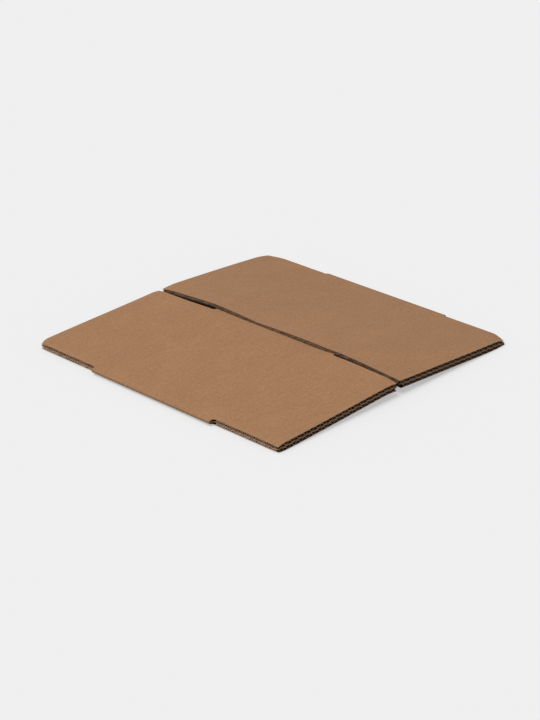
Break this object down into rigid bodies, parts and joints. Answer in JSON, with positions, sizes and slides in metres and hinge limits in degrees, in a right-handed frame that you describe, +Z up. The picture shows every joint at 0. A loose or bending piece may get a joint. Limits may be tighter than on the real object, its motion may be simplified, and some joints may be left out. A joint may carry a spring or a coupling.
{
  "type": "flattened cardboard box",
  "caption": "Slotted shipping box of brown fluted board, glued into its tube and folded flat, its flaps in line with the side panels.",
  "frame": {"origin": "middle of the underside, on the ground that the box lies on", "axes": "+Z up, +X across the side panels and the glued joint, +Y along the flutes, from one row of flaps to the other"},
  "size_m": [0.2622, 0.252, 0.0163],
  "materials": {
    "kraft_board": "matt unprinted brown kraft liner, with darker fluted cut edges"
  },
  "bodies": {
    "root": {"flattened_box": "kraft_board"}
  },
  "joints": []
}
